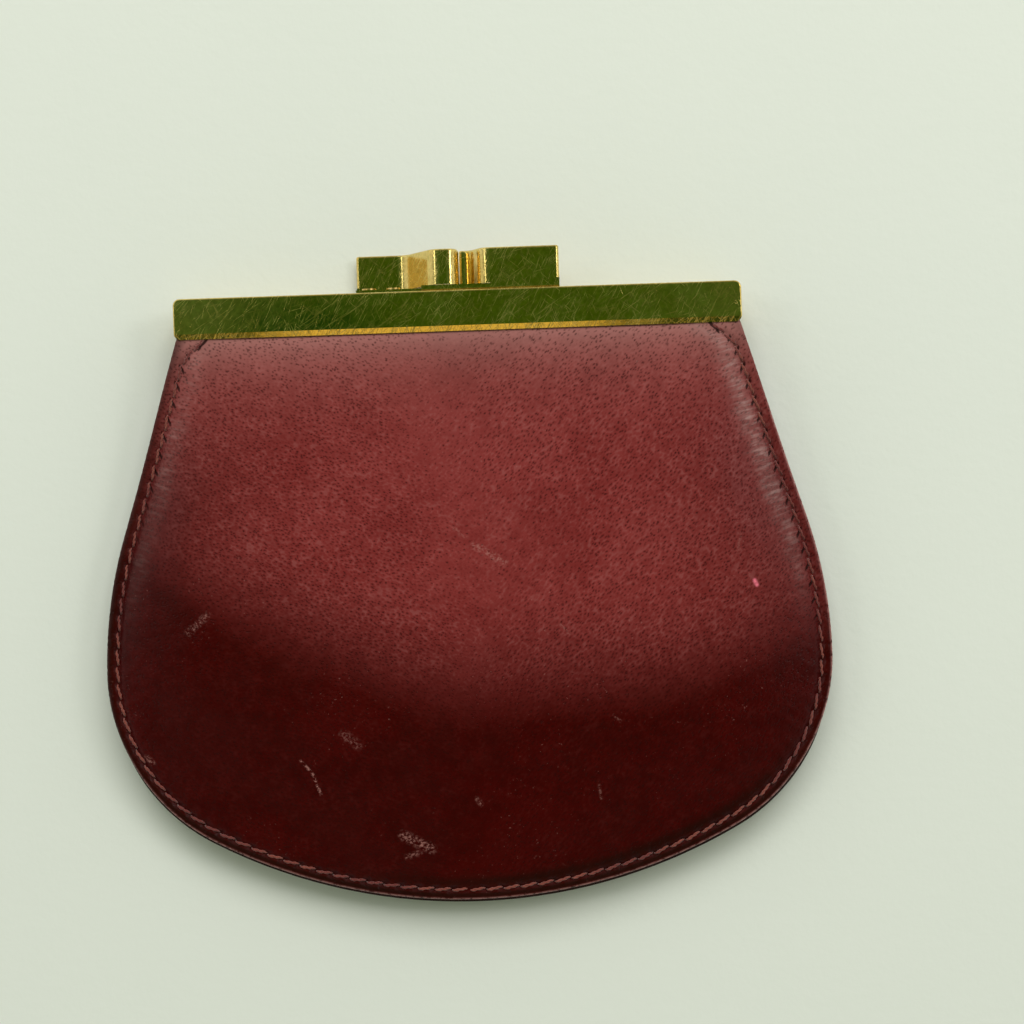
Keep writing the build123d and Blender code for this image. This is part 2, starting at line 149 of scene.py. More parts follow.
def smooth(value, low=0.0, high=1.0):
    """Smooth step from 0 at low to 1 at high."""
    t = np.clip((value - low) / (high - low), 0, 1)
    return t * t * (3 - 2 * t)


def bump(value, centre, width):
    """Gaussian hump."""
    return np.exp(-(((value - centre) / width) ** 2))


def wander(x, y, scale, seed):
    """Smooth noise over the panel, about -1 to 1, with features of the given size."""
    return np.array([noise.noise((a / scale, b / scale, seed)) for a, b in zip(x, y)])


# ======== the seam ========
def stitch_inset(drop):
    """Distance of the seam from the cut edge: it turns in where it goes under the bar."""
    return STITCH_INSET + 2.2 * np.exp(-((np.maximum(drop, 0) / 1.7) ** 2))


def seam():
    """Needle holes down the right side, the outline, and how many stitches down each of its points lies."""
    fine, _ = half_outline(STITCH_INSET, 2000)
    edge, _ = half_outline(0.0, 2000)
    inward = fine - edge
    inward /= np.hypot(inward[:, 0], inward[:, 1])[:, None]
    line = edge + inward * stitch_inset(BAR_Y - edge[:, 1])[:, None]
    steps = np.hypot(*np.diff(line, axis=0).T)
    travel = np.concatenate(([0.0], np.cumsum(steps)))
    count = round(travel[-1] / STITCH_PITCH - 0.5)
    pitch = travel[-1] / (count + 0.5)
    holes = pitch * np.arange(0, count + 1)
    hole_points = np.stack([np.interp(holes, travel, line[:, i]) for i in range(2)], axis=1)
    return hole_points, edge, travel / pitch


HOLES_RIGHT, SEAM_EDGE, SEAM_TRAVEL = seam()
HOLES = np.concatenate((HOLES_RIGHT, (HOLES_RIGHT * (-1, 1))[:-1]))


def seam_place(x, y):
    """Distance from each point to the nearest needle hole, and its phase along the stitches."""
    ahead = np.roll(HOLES, -1, axis=0) - HOLES
    ahead[len(HOLES_RIGHT) - 1 :] = ahead[len(HOLES_RIGHT) - 2]
    ahead[len(HOLES_RIGHT) :] = -ahead[: len(HOLES_RIGHT) - 1] * (1, -1)
    found, phase = np.full(len(x), 1e3), np.zeros(len(x))
    for (hx, hy), way in zip(HOLES, ahead):
        near = np.flatnonzero((np.abs(y - hy) < 9) & (np.abs(x - hx) < 9))
        gap = np.hypot(x[near] - hx, y[near] - hy)
        closer = gap < found[near]
        near, gap = near[closer], gap[closer]
        found[near] = gap
        phase[near] = ((x[near] - hx) * way[0] + (y[near] - hy) * way[1]) / (way @ way)
    return found, phase


# ======== leather surfaces ========
def rim_height(drop):
    """Height of the sewn edge: at the slot in the bar, then closing to the flat seam."""
    share = smooth(drop, -1.0, HINGE_DROP + 1)
    return SLOT_H + (FLANGE_H - SLOT_H) * share


def trim(amount, drop):
    """How far a panel's cut edge stands inside the sewn outline, round the bottom."""
    return amount * smooth(drop, *TRIM_DROPS)


def edge_detail(x, y, d, drop, trimmed=0.0):
    """Small shape along the seam: the puffed margin, the groove, the needle holes and puckers."""
    inset = stitch_inset(drop)
    below_bar = smooth(drop, 0.0, 1.2)
    hole, phase = seam_place(x, y)
    sides = 1 - 0.75 * smooth(drop, *BOTTOM_DROPS)
    margin = 0.13 * sides * bump(d, inset * 0.5, 0.55)
    groove = -0.17 * (0.4 + 0.6 * sides) * bump(d, inset, 0.45)
    holes = -0.3 * bump(hole, 0, 0.34)
    inside = np.maximum(d - inset, 0)
    strength = 0.5 + 0.5 * wander(x, y, 5.0, 8.8)
    ridges = np.cos(2 * pi * (phase + 0.1 * inside)) * bump(inside, 0, 2.4) * (1 - bump(d, 0, 0.8))
    pucker = -0.085 * ridges * strength
    ripple = 0.06 * bump(d, inset + 1.8, 2.0) * wander(x * 1.8, y * 1.8, 1.6, 7.3)
    edge = np.maximum(d - trimmed, 0)
    rounding = -0.3 * (1 - np.sqrt(1 - (1 - np.clip(edge / 0.32, 0, 1)) ** 2))
    return (margin + groove + holes + pucker + ripple) * below_bar + rounding


def front_height(x, y, d):
    """Height of the front leather's face."""
    drop = BAR_Y - y
    below = np.maximum(drop, 0)
    rim = rim_height(drop)
    full = SLOT_H + 0.75 * (1 - np.exp(-below / 5.0)) + 0.55 * bump(drop, 30, 24) - 0.3 * bump(drop, 0, 0.5)
    low_down = smooth(drop, 25, 70)
    reach = 12 + 22 * low_down
    sharp = 2.7 - 0.5 * low_down
    inner = np.clip((d - stitch_inset(drop)) / reach, 0, 1)
    rise = 1 - (1 - inner) ** sharp
    soft = smooth(below, 0, 9) * smooth(d, 2, 12)
    sag = 0.34 * wander(x, y, 26, 1.7) + 0.16 * wander(x, y, 11, 4.1) + 0.035 * wander(x, y, 4.2, 9.2)
    gathers = 0.15 * np.exp(-below / 7.5) * smooth(below, 0, 2) * wander(x, y * 0.2, 3.6, 2.9)
    hollow = -0.26 * bump(x, -1.5, 4.5) * bump(drop, 8.5, 3.5) - 0.22 * bump(x, 7, 6) * bump(drop, 44, 13)
    swell = 0.22 * bump(x, -8, 11) * bump(drop, 42, 11) + 0.2 * bump(x, -22, 7) * bump(drop, 8, 7)
    shape = rim + (full - rim) * rise + (sag + hollow + swell) * soft + gathers
    return shape + edge_detail(x, y, d, drop, trim(FRONT_TRIM, drop))


def rear_height(x, y, d):
    """Depth of the rear leather's face below the mid plane: it lies flat on the table."""
    drop = BAR_Y - y
    rim = rim_height(drop)
    full = SLOT_H + (REAR_FACE_H - SLOT_H) * smooth(drop, 0, 6)
    inner = np.clip((d - stitch_inset(drop)) / 8.5, 0, 1)
    rise = 1 - (1 - inner) ** 2.2
    slack = -0.12 * (0.5 + 0.5 * wander(x, y, 19, 5.9)) * smooth(drop, 0, 6)
    shape = rim + (full + slack - rim) * rise
    return np.minimum(shape + edge_detail(x, y, d, drop, trim(REAR_TRIM, drop)), REAR_FACE_H)


# ======== the panel grid ========
SEAM_COLUMNS = 262
EDGE_ROWS = (0, 0.08, 0.2, 0.34, 0.55, 0.85, 1.1, 1.3, 1.5, 1.65, 1.8, 2,
             2.25, 2.6, 3, 3.5, 4.1, 4.8, 5.7, 6.8, 8)
MIDDLE_ROWS = 30
SPINE_LOW = 30.0


def panel_grid(columns, edge_rows, middle_rows, top_y, trimmed):
    """Right half of a panel as rows of points from the cut edge to the middle line, and which of them lie
    outside the sewn outline."""
    rows = [half_outline(inset, columns, top_y)[0] for inset in edge_rows]
    inward = rows[-1] - rows[0]
    inward /= np.hypot(inward[:, 0], inward[:, 1])[:, None]
    cut = trim(trimmed, BAR_Y - rows[0][:, 1])
    shares = [max(0.0, 1 - inset / TRIM_REACH) for inset in edge_rows]
    outside = np.array([inset + cut * share < 0 for inset, share in zip(edge_rows, shares)])
    rows = [row + inward * (cut * share)[:, None] for row, share in zip(rows, shares)]
    spine_share = np.linspace(0, 1, columns) ** 0.8
    spine_y = top_y + (BOTTOM_Y + SPINE_LOW - top_y) * spine_share
    spine = np.stack((np.zeros(columns), spine_y), axis=1)
    last = rows[-1]
    for i in range(1, middle_rows + 1):
        rows.append(last + (spine - last) * (i / middle_rows))
    beyond = np.concatenate((outside, np.zeros((middle_rows, columns), dtype=bool)))
    return np.array(rows), beyond.ravel()


def inset_of(points):
    """Distance from each point to the sewn outline."""
    line = half_outline(0.0, 900, BAR_Y + TUCK)[0]
    found = np.empty(len(points))
    for i in range(0, len(points), 2000):
        part = points[i : i + 2000]
        gap = np.hypot(part[:, None, 0] - line[None, :, 0], part[:, None, 1] - line[None, :, 1])
        found[i : i + 2000] = gap.min(axis=1)
    return found


def grid_faces(rows, columns):
    """Quads of a grid whose points run row by row."""
    r, c = np.meshgrid(np.arange(rows - 1), np.arange(columns - 1), indexing="ij")
    a = (r * columns + c).ravel()
    return np.stack((a, a + columns, a + columns + 1, a + 1), axis=1)


def panel_points(
    height, trimmed=0.0, columns=SEAM_COLUMNS, edge_rows=EDGE_ROWS, middle_rows=MIDDLE_ROWS, tuck=TUCK
):
    """Both halves of a panel face as points and faces, with the given height function."""
    grid, beyond = panel_grid(columns, edge_rows, middle_rows, BAR_Y + tuck, trimmed)
    rows = len(grid)
    flat = grid.reshape(-1, 2)
    d = inset_of(flat) * np.where(beyond, -1, 1)
    right = np.column_stack((flat, height(flat[:, 0], flat[:, 1], d)))
    left = np.column_stack((-flat[:, 0], flat[:, 1], height(-flat[:, 0], flat[:, 1], d)))
    faces = grid_faces(rows, columns)
    return np.concatenate((right, left)), np.concatenate((faces, faces[:, ::-1] + len(flat)))


# ======== meshes ========
def new_object(name, points, faces, materials, side=1):
    """Object from points (x, y, h) in millimetres. side -1 puts it below the mid plane."""
    placed = np.array(points, dtype=float)
    placed[:, 2] = MID_Z + side * placed[:, 2]
    mesh = bpy.data.meshes.new(name)
    ordered = faces if side > 0 else [tuple(reversed(list(face))) for face in faces]
    mesh.from_pydata((placed * MM).tolist(), [], [tuple(int(i) for i in face) for face in ordered])
    work = bmesh.new()
    work.from_mesh(mesh)
    bmesh.ops.remove_doubles(work, verts=work.verts, dist=2e-6)
    bmesh.ops.dissolve_degenerate(work, edges=work.edges, dist=1e-6)
    work.to_mesh(mesh)
    work.free()
    obj = bpy.data.objects.new(name, mesh)
    bpy.context.scene.collection.objects.link(obj)
    for material in materials:
        mesh.materials.append(material)
    mesh.shade_smooth()
    return obj


def apply_modifiers(obj):
    """Keeps the mesh that the modifiers make, and removes them."""
    depsgraph = bpy.context.evaluated_depsgraph_get()
    made = bpy.data.meshes.new_from_object(obj.evaluated_get(depsgraph))
    obj.modifiers.clear()
    obj.data = made


def thicken(obj, thickness, offset, rim_slot=0, back_slot=0):
    """Gives a face its thickness in millimetres, with materials of its own round the cut edge and behind."""
    solid = obj.modifiers.new("thickness", "SOLIDIFY")
    solid.thickness = thickness * MM
    solid.offset = offset
    solid.use_even_offset = False
    solid.use_rim = True
    solid.material_offset_rim = rim_slot
    solid.material_offset = back_slot
    apply_modifiers(obj)


def keep_rest(obj):
    """Stores each point's place at rest in millimetres, so that a pattern stays put when it bends."""
    mesh = obj.data
    points = np.empty(len(mesh.vertices) * 3)
    mesh.vertices.foreach_get("co", points)
    layer = mesh.attributes.new("rest_mm", "FLOAT_VECTOR", "POINT")
    layer.data.foreach_set("vector", points / MM)


def seam_travel(points):
    """How many stitches down the seam each point lies."""
    found = np.empty(len(points))
    for i in range(0, len(points), 2000):
        part = points[i : i + 2000]
        gap = np.hypot(part[:, None, 0] - SEAM_EDGE[None, :, 0], part[:, None, 1] - SEAM_EDGE[None, :, 1])
        found[i : i + 2000] = SEAM_TRAVEL[gap.argmin(axis=1)]
    return found


def paint_wear_and_light(obj, share, trimmed):
    """Stores per point: darkening by hands together with painted shade towards the bottom and edges, a pale
    painted sheen near the bar, a glossy band by the seam that carries painted highlights, painted shade
    along the edge margin and beside the bottom seam, and the raw cut edge. Also stores where it lies along
    and across the seam."""
    mesh = obj.data
    points = np.empty(len(mesh.vertices) * 3)
    mesh.vertices.foreach_get("co", points)
    x, y, _ = points.reshape(-1, 3).T / MM
    folded = np.column_stack((np.abs(x), y))
    d = inset_of(folded)
    drop = BAR_Y - y
    inside = d - stitch_inset(drop)
    right = smooth(x, -5, 5)
    low = smooth(drop, 50, 66)
    early = 9 * smooth(-x, 0, 30)
    # darker towards the bottom, sooner on the left, and near the edges: darkening by hands together with
    # painted shade
    dark = share * smooth(drop + early, 33, 55) + (0.8 - 0.25 * right) * bump(d, 0, 14) * smooth(drop, 2, 25)
    # pale painted sheen, strongest at the bar and fading down the pouch
    pale = np.exp(-np.maximum(drop, 0) / 3.7)
    # glossy band just inside the seam, mostly on the right: less rough, and it carries painted highlights
    gloss_and_highlight = bump(inside, 1.5, 1.25) * (1 - smooth(drop, 16, 42)) * (0.3 + 0.7 * right)
    gloss_and_highlight *= 0.7 + 0.6 * wander(x, y, 3.7, 6.1)
    # the pale raw edge shows more on the right side and along the bottom
    raw_edge_reach = np.maximum(right * smooth(drop, 6, 14), low)
    raw = (1 - smooth(d - trim(trimmed, drop), 0.05, 0.32)) * (0.1 + 0.9 * raw_edge_reach)
    # painted shade along the edge margin, stronger on the left
    margin = bump(d, 0.2, 0.9) * (0.75 - 0.5 * right) * (1 - low)
    # painted shade in the groove beside the bottom seam
    beside = low * (bump(inside, -0.75, 0.35) + 0.8 * bump(inside, 1.0, 0.8) * smooth(x, -25, 5))
    wear = {"patina_and_shade": dark, "painted_sheen": pale, "gloss_and_highlight": gloss_and_highlight, "raw": raw, "painted_edge_shade": margin + beside}
    wear = {name: np.clip(value, 0, 1) for name, value in wear.items()}
    wear.update(seam=seam_travel(folded), inside=inside)
    for name, value in wear.items():
        layer = mesh.attributes.new(name, "FLOAT", "POINT")
        layer.data.foreach_set("value", value)


# ======== materials ========
class Nodes:
    """Short way to write the nodes of a material or a world."""

    def __init__(self, owner):
        owner.use_nodes = True
        self.owner = owner
        self.tree = owner.node_tree

    def add(self, kind, inputs=None, **settings):
        """A node with settings, and inputs that are values or other nodes' outputs."""
        node = self.tree.nodes.new("ShaderNode" + kind)
        for key, value in settings.items():
            setattr(node, key, value)
        for key, value in (inputs or {}).items():
            self.link(node.inputs[key], value)
        return node

    def link(self, socket, value):
        """Joins an output to a socket, or sets the socket's value."""
        if isinstance(value, bpy.types.NodeSocket):
            self.tree.links.new(value, socket)
        else:
            socket.default_value = value

    def set(self, **inputs):
        """Sets or links the shader's inputs, by name with _ for a space."""
        for key, value in inputs.items():
            self.link(self.tree.nodes["Principled BSDF"].inputs[key.replace("_", " ")], value)

    def stored(self, name, output="Fac"):
        """Value kept on the mesh's points."""
        return self.add("Attribute", attribute_name=name, attribute_type="GEOMETRY").outputs[output]

    def rest(self):
        """Place at rest in millimetres."""
        return self.stored("rest_mm", "Vector")

    def object_mm(self):
        """Place in the object's own space, in millimetres."""
        place = self.add("TexCoord").outputs["Object"]
        return self.add("VectorMath", {0: place, "Scale": 1 / MM}, operation="SCALE").outputs[0]

    def grid(self, vector, turn=0.0, size=(1, 1, 1), shift=0.0):
        """Vector in a grid turned about Z by degrees, whose cells have the given size."""
        inputs = {"Vector": vector, "Rotation": (0, 0, radians(turn)), "Scale": size}
        inputs["Location"] = (shift, shift, 0)
        return self.add("Mapping", inputs, vector_type="TEXTURE").outputs[0]

    def noise(self, vector, scale, detail=3.0, rough=0.55, warp=0.0):
        """Noise value, 0 to 1."""
        inputs = {"Vector": vector, "Scale": scale, "Detail": detail, "Roughness": rough, "Distortion": warp}
        return self.add("TexNoise", inputs).outputs["Fac"]

    def noise_colour(self, vector, scale, detail=2.0):
        """Noise as a vector, 0 to 1 each way."""
        return self.add("TexNoise", {"Vector": vector, "Scale": scale, "Detail": detail}).outputs["Color"]

    def cells(self, vector, scale, feature="F1"):
        """Distance pattern of Voronoi cells."""
        inputs = {"Vector": vector, "Scale": scale}
        return self.add("TexVoronoi", inputs, feature=feature).outputs["Distance"]

    def ramp(self, value, low, high, out_low=0.0, out_high=1.0):
        """Smooth map of a value from one range to another."""
        inputs = {"Value": value, 1: low, 2: high, 3: out_low, 4: out_high}
        return self.add("MapRange", inputs, interpolation_type="SMOOTHSTEP").outputs[0]

    def math(self, operation, a, b=0.0, c=0.0):
        """One sum."""
        return self.add("Math", {0: a, 1: b, 2: c}, operation=operation).outputs[0]

    def mix(self, factor, a, b, blend="MIX"):
        """Mix of two colours."""
        node = self.add("Mix", data_type="RGBA", blend_type=blend)
        colours = [socket for socket in node.inputs if socket.type == "RGBA"]
        self.link(node.inputs[0], factor)
        self.link(colours[0], a)
        self.link(colours[1], b)
        return next(socket for socket in node.outputs if socket.type == "RGBA")

    def mix_vector(self, vector, push, amount):
        """Vector pushed about by a 0 to 1 noise vector."""
        centred = self.add("VectorMath", {0: push, 1: (0.5, 0.5, 0.5)}, operation="SUBTRACT").outputs[0]
        scaled = self.add("VectorMath", {0: centred, "Scale": amount}, operation="SCALE").outputs[0]
        return self.add("VectorMath", {0: vector, 1: scaled}, operation="ADD").outputs[0]

    def relief(self, height, distance, strength=1.0, under=None):
        """Bump of a height whose full range is distance millimetres deep."""
        inputs = {"Height": height, "Distance": distance * MM, "Strength": strength}
        if under is not None:
            inputs["Normal"] = under
        return self.add("Bump", inputs).outputs[0]


def material_nodes(name):
    """Nodes of a new material."""
    return Nodes(bpy.data.materials.new(name))


def rgb(r, g, b):
    """Linear colour with full alpha."""
    return (r, g, b, 1.0)


def leather_grain(n, place):
    """Fine pits that lean one way on the left of the panel and the other on the right."""
    pushed = n.mix_vector(place, n.noise_colour(place, 0.9, 2.0), 0.45)
    left = n.cells(n.grid(pushed, -24, (0.50, 0.33, 0.4)), 1.0)
    right = n.cells(n.grid(pushed, 45, (0.64, 0.31, 0.4)), 1.0)
    across = n.add("SeparateXYZ", {0: place}).outputs[0]
    drift = n.math("MULTIPLY_ADD", n.noise(place, 0.05, 1.0), 40.0, across)
    side = n.ramp(drift, 6.0, 38.0)
    cell = n.add("Mix", {0: side, 2: left, 3: right}).outputs[0]
    fine = n.noise(pushed, 4.2, 3.0, 0.6)
    return cell, fine


def scratch_mark(n, place, start, end, width):
    """Soft mask along a line on the panel, broken up by noise."""
    ax, ay = start
    length = hypot(end[0] - ax, end[1] - ay)
    turn = atan2(end[1] - ay, end[0] - ax)
    local = n.add("VectorMath", {0: place, 1: (ax, ay, 0)}, operation="SUBTRACT").outputs[0]
    turned = n.add("VectorRotate", {"Vector": local, "Angle": -turn}, rotation_type="Z_AXIS").outputs[0]
    along, across, _ = n.add("SeparateXYZ", {0: turned}).outputs
    past = n.math("SUBTRACT", along, n.add("Clamp", {0: along, 1: 0, 2: length}).outputs[0])
    gap = n.math("SQRT", n.math("ADD", n.math("POWER", past, 2.0), n.math("POWER", across, 2.0)))
    return n.ramp(gap, 0.0, width, 1.0, 0.0)


SCUFFS = (
    ((-36.8, -6.2), (-34.3, -4.0), 0.75, 0.45),
    ((1.3, 4.0), (5.0, 1.7), 0.9, 0.5),
    ((-1.4, 6.4), (0.0, 5.2), 0.5, 0.3),
    ((-22.7, -23.6), (-21.2, -25.4), 0.3, 0.75),
    ((-21.2, -25.4), (-20.2, -28.3), 0.3, 0.75),
    ((-9.5, -34.1), (-5.9, -36.0), 1.0, 0.7),
    ((-9.2, -37.0), (-7.5, -36.5), 0.6, 0.5),
    ((0.4, -29.4), (0.9, -30.2), 0.5, 0.5),
    ((36.3, 4.5), (35.7, 2.0), 0.35, 0.25),
    ((-43.3, -22.7), (-42.6, -23.5), 0.6, 0.6),
    ((-16.8, -20.3), (-15.1, -21.7), 1.0, 0.35),
    ((16.5, -27.6), (16.8, -30.0), 0.3, 0.35),
    ((23.4, 27.5), (23.5, 27.4), 0.3, 0.6),
    ((24.4, 27.8), (24.5, 27.8), 0.25, 0.6),
    ((12.2, -6.8), (13.2, -7.8), 0.4, 0.3),
    ((18.8, -18.9), (19.7, -19.8), 0.3, 0.3),
)
PINK_SPOT = ((37.9, -1.8), (38.2, -2.4), 0.42)


def leather_body(n, place, patina_and_shade, painted_sheen):
    """Colour of the hide: fresh, turning dark towards the bottom and edges by hand darkening together with
    painted shade, and a pale painted sheen near the bar.
    """
    mottle = n.noise(place, 0.085, 4.0, 0.6)
    patch = n.noise(place, 0.5, 3.0, 0.6)
    tone = n.ramp(n.math("MULTIPLY_ADD", patch, 0.35, n.math("MULTIPLY", mottle, 0.65)), 0.36, 0.64)
    fresh = n.mix(tone, rgb(0.172, 0.0190, 0.0185), rgb(0.232, 0.0330, 0.0320))
    aged_and_shaded = n.mix(tone, rgb(0.030, 0.0003, 0.0003), rgb(0.050, 0.0007, 0.0007))
    # painted shade together with darkening by hands: the fresh colour turns to the dark one towards the
    # bottom and edges
    body = n.mix(n.math("MULTIPLY_ADD", n.math("SUBTRACT", mottle, 0.5), 0.5, patina_and_shade), fresh, aged_and_shaded)
    # pale painted sheen near the bar
    return n.mix(n.math("MULTIPLY", painted_sheen, 0.55), body, rgb(0.40, 0.215, 0.20)), mottle, patch


def leather_scuffs(n, place, mottle):
    """Mask of the scuffed places, and of pale specks that are painted glints on the grain tops."""
    worn = None
    for start, end, width, strength in SCUFFS:
        mark = n.math("MULTIPLY", scratch_mark(n, place, start, end, width), strength)
        worn = mark if worn is None else n.math("MAXIMUM", worn, mark)
    breakup = n.ramp(n.noise(place, 2.6, 4.0, 0.75), 0.46, 0.62)
    painted_glints = n.ramp(n.noise(place, 3.0, 2.0), 0.68, 0.75)
    painted_glints = n.math("MULTIPLY", painted_glints, n.ramp(mottle, 0.45, 0.62, 0.0, 0.3))
    return n.math("MAXIMUM", n.math("MULTIPLY", worn, breakup), painted_glints)


def seam_slits(n, seam, inside):
    """Dark slanted slit at each needle hole."""
    along = n.math("PINGPONG", n.math("MULTIPLY_ADD", inside, -0.40, seam), 0.5)
    reach = n.math("ABSOLUTE", n.math("SUBTRACT", inside, 0.05))
    return n.math("MULTIPLY", n.ramp(along, 0.055, 0.13, 1.0, 0.0), n.ramp(reach, 0.36, 0.64, 1.0, 0.0))


def pucker_streaks(n, seam, inside):
    """Streaks that run in from the stitches."""
    along = n.math("MULTIPLY", seam, 4.6)
    across = n.math("MULTIPLY", inside, 0.45)
    place = n.add("CombineXYZ", {0: along, 1: across}).outputs[0]
    return n.ramp(n.noise(place, 1.0, 2.0), 0.42, 0.68)


def leather_material():
    """Oxblood grained leather: darkened by hands and by painted shade, with a pale painted sheen near the
    bar, a glossy seam band with painted highlights, painted glints and scuffs.
    """
    n = material_nodes("oxblood_leather")
    place = n.rest()
    cell, fine = leather_grain(n, place)
    patina_and_shade, painted_sheen, gloss_and_highlight = n.stored("patina_and_shade"), n.stored("painted_sheen"), n.stored("gloss_and_highlight")
    raw, painted_edge_shade = n.stored("raw"), n.stored("painted_edge_shade")
    seam, inside = n.stored("seam"), n.stored("inside")
    body, mottle, patch = leather_body(n, place, patina_and_shade, painted_sheen)
    pits = n.math("MULTIPLY", n.ramp(cell, 0.14, 0.46, 1.0, 0.0), n.ramp(fine, 0.35, 0.6, 1.0, 0.6))
    colour = n.mix(n.math("MULTIPLY", pits, 0.80), body, rgb(0.022, 0.0010, 0.0010))
    tips = n.math("MULTIPLY", n.ramp(cell, 0.50, 0.86), n.ramp(patch, 0.35, 0.6, 0.07, 0.19))
    tips = n.math("MULTIPLY", tips, n.ramp(patina_and_shade, 0.2, 0.9, 1.0, 0.10))
    colour = n.mix(tips, colour, rgb(0.38, 0.155, 0.15))
    # pale painted highlights in streaks across the glossy band by the seam
    streaks = pucker_streaks(n, seam, inside)
    painted_highlight = n.math("MULTIPLY", gloss_and_highlight, n.math("MULTIPLY_ADD", streaks, 0.40, 0.16))
    colour = n.mix(painted_highlight, colour, rgb(0.48, 0.34, 0.33))
    worn = leather_scuffs(n, place, mottle)
    # scuffs, with pale painted glints on the grain tops mixed in
    colour = n.mix(worn, colour, rgb(0.42, 0.19, 0.17))
    # painted shade, near black, along the edge margin and in the groove beside the bottom seam
    colour = n.mix(n.math("MULTIPLY", painted_edge_shade, 0.88), colour, rgb(0.008, 0.0022, 0.0013))
    slits = n.math("MULTIPLY", seam_slits(n, seam, inside), n.ramp(patina_and_shade, 0.6, 0.95, 1.0, 0.25))
    colour = n.mix(n.math("MULTIPLY", slits, 0.9), colour, rgb(0.010, 0.0015, 0.0012))
    ragged = n.math("MULTIPLY", raw, n.ramp(n.noise(place, 1.7, 4.0, 0.7), 0.36, 0.54))
    colour = n.mix(n.math("MULTIPLY", ragged, 0.85), colour, rgb(0.40, 0.18, 0.17))
    pink = n.math("MULTIPLY", scratch_mark(n, place, *PINK_SPOT), n.ramp(fine, 0.3, 0.5, 0.6, 1.0))
    colour = n.mix(pink, colour, rgb(0.78, 0.17, 0.24))
    rough = n.ramp(n.noise(place, 0.16, 3.0), 0.35, 0.7, 0.42, 0.50)
    rough = n.math("MULTIPLY_ADD", n.math("MAXIMUM", gloss_and_highlight, patina_and_shade), -0.13, rough)
    rough = n.math("MULTIPLY_ADD", worn, 0.2, rough)
    height = n.math("MULTIPLY_ADD", fine, 0.5, n.ramp(cell, 0.06, 0.5))
    height = n.math("MULTIPLY_ADD", n.math("MULTIPLY", gloss_and_highlight, streaks), 1.0, height)
    height = n.math("MULTIPLY_ADD", slits, -3.0, height)
    normal = n.relief(height, 0.030, 1.0, n.relief(n.noise(place, 0.35, 3.0), 0.08))
    n.set(Base_Color=colour, Roughness=rough, Normal=normal, Specular_IOR_Level=0.13)
    return n.owner


def cut_edge_material():
    """Raw cut edge of the leather: pinkish fibres and dark stains, darker still where the face is darkened
    by hands and by painted shade.
    """
    n = material_nodes("leather_cut_edge")
    place = n.rest()
    fibre = n.noise(n.grid(place, size=(1, 1, 0.25)), 3.2, 5.0, 0.7)
    stain = n.noise(place, 0.5, 3.0)
    colour = n.mix(n.ramp(fibre, 0.35, 0.7), rgb(0.10, 0.018, 0.015), rgb(0.34, 0.125, 0.11))
    colour = n.mix(n.ramp(stain, 0.4, 0.7), colour, rgb(0.075, 0.012, 0.01))
    # darker where the face is darkened by hands and by painted shade
    handled = n.ramp(n.math("MAXIMUM", n.stored("patina_and_shade"), n.stored("painted_edge_shade")), 0.15, 0.6, 0.0, 0.92)
    colour = n.mix(handled, colour, rgb(0.014, 0.004, 0.003))
    n.set(Base_Color=colour, Roughness=0.78, Normal=n.relief(fibre, 0.12), Specular_IOR_Level=0.2)
    return n.owner


def flesh_material():
    """Suede back of the outer leather, where it shows inside."""
    n = material_nodes("leather_flesh_side")
    place = n.rest()
    nap = n.noise(place, 4.0, 5.0, 0.7)
    colour = n.mix(nap, rgb(0.09, 0.02, 0.016), rgb(0.17, 0.05, 0.04))
    n.set(Base_Color=colour, Roughness=0.9, Normal=n.relief(nap, 0.1), Sheen_Weight=0.25)
    return n.owner


def lining_material():
    """Thin smooth lining skin, dull and darker than the outside."""
    n = material_nodes("lining_skin")
    place = n.rest()
    pores = n.cells(n.mix_vector(place, n.noise_colour(place, 0.8), 0.8), 2.6, "SMOOTH_F1")
    tone = n.noise(place, 0.12, 4.0)
    colour = n.mix(n.ramp(tone, 0.3, 0.7), rgb(0.060, 0.014, 0.011), rgb(0.115, 0.03, 0.024))
    colour = n.mix(n.ramp(pores, 0.1, 0.6, 0.4, 0.0), colour, rgb(0.02, 0.004, 0.003))
    rough = n.ramp(tone, 0.3, 0.7, 0.55, 0.7)
    n.set(Base_Color=colour, Roughness=rough, Normal=n.relief(pores, 0.05), Sheen_Weight=0.1)
    return n.owner


def gusset_material():
    """Thin skived leather of the side gussets, with soft fold lines."""
    n = material_nodes("gusset_leather")
    place = n.rest()
    pores = n.cells(n.mix_vector(place, n.noise_colour(place, 0.8), 1.0), 1.9, "SMOOTH_F1")
    creases = n.noise(n.grid(place, size=(7.0, 0.8, 2.5)), 1.0, 4.0)
    colour = n.mix(n.ramp(creases, 0.3, 0.7), rgb(0.075, 0.010, 0.009), rgb(0.15, 0.024, 0.022))
    normal = n.relief(pores, 0.06, 1.0, n.relief(creases, 0.15))
    n.set(Base_Color=colour, Roughness=0.55, Normal=normal, Sheen_Weight=0.08)
    return n.owner


def thread_material():
    """Waxed reddish-brown thread, its tone drifting along the seam and darker in a fine fibre pattern."""
    n = material_nodes("waxed_thread")
    place = n.rest()
    fibre = n.noise(place, 7.0, 3.0)
    age = n.noise(place, 0.09, 3.0)
    colour = n.mix(n.ramp(age, 0.42, 0.58), rgb(0.150, 0.021, 0.019), rgb(0.225, 0.048, 0.033))
    colour = n.mix(n.ramp(fibre, 0.4, 0.75, 0.0, 0.5), colour, rgb(0.06, 0.010, 0.008))
    n.set(Base_Color=colour, Roughness=0.5, Normal=n.relief(fibre, 0.06), Sheen_Weight=0.3)
    return n.owner


SCRATCH_WAYS = ((62, 3.0, 3.5, 0.63), (48, 11.0, 2.5, 0.65), (72, 23.0, 3.0, 0.64), (112, 31.0, 2.5, 0.66),
                (14, 47.0, 4.5, 0.68), (140, 53.0, 3.2, 0.67), (33, 61.0, 6.0, 0.66))
SCRATCH_WIDTH = 0.10


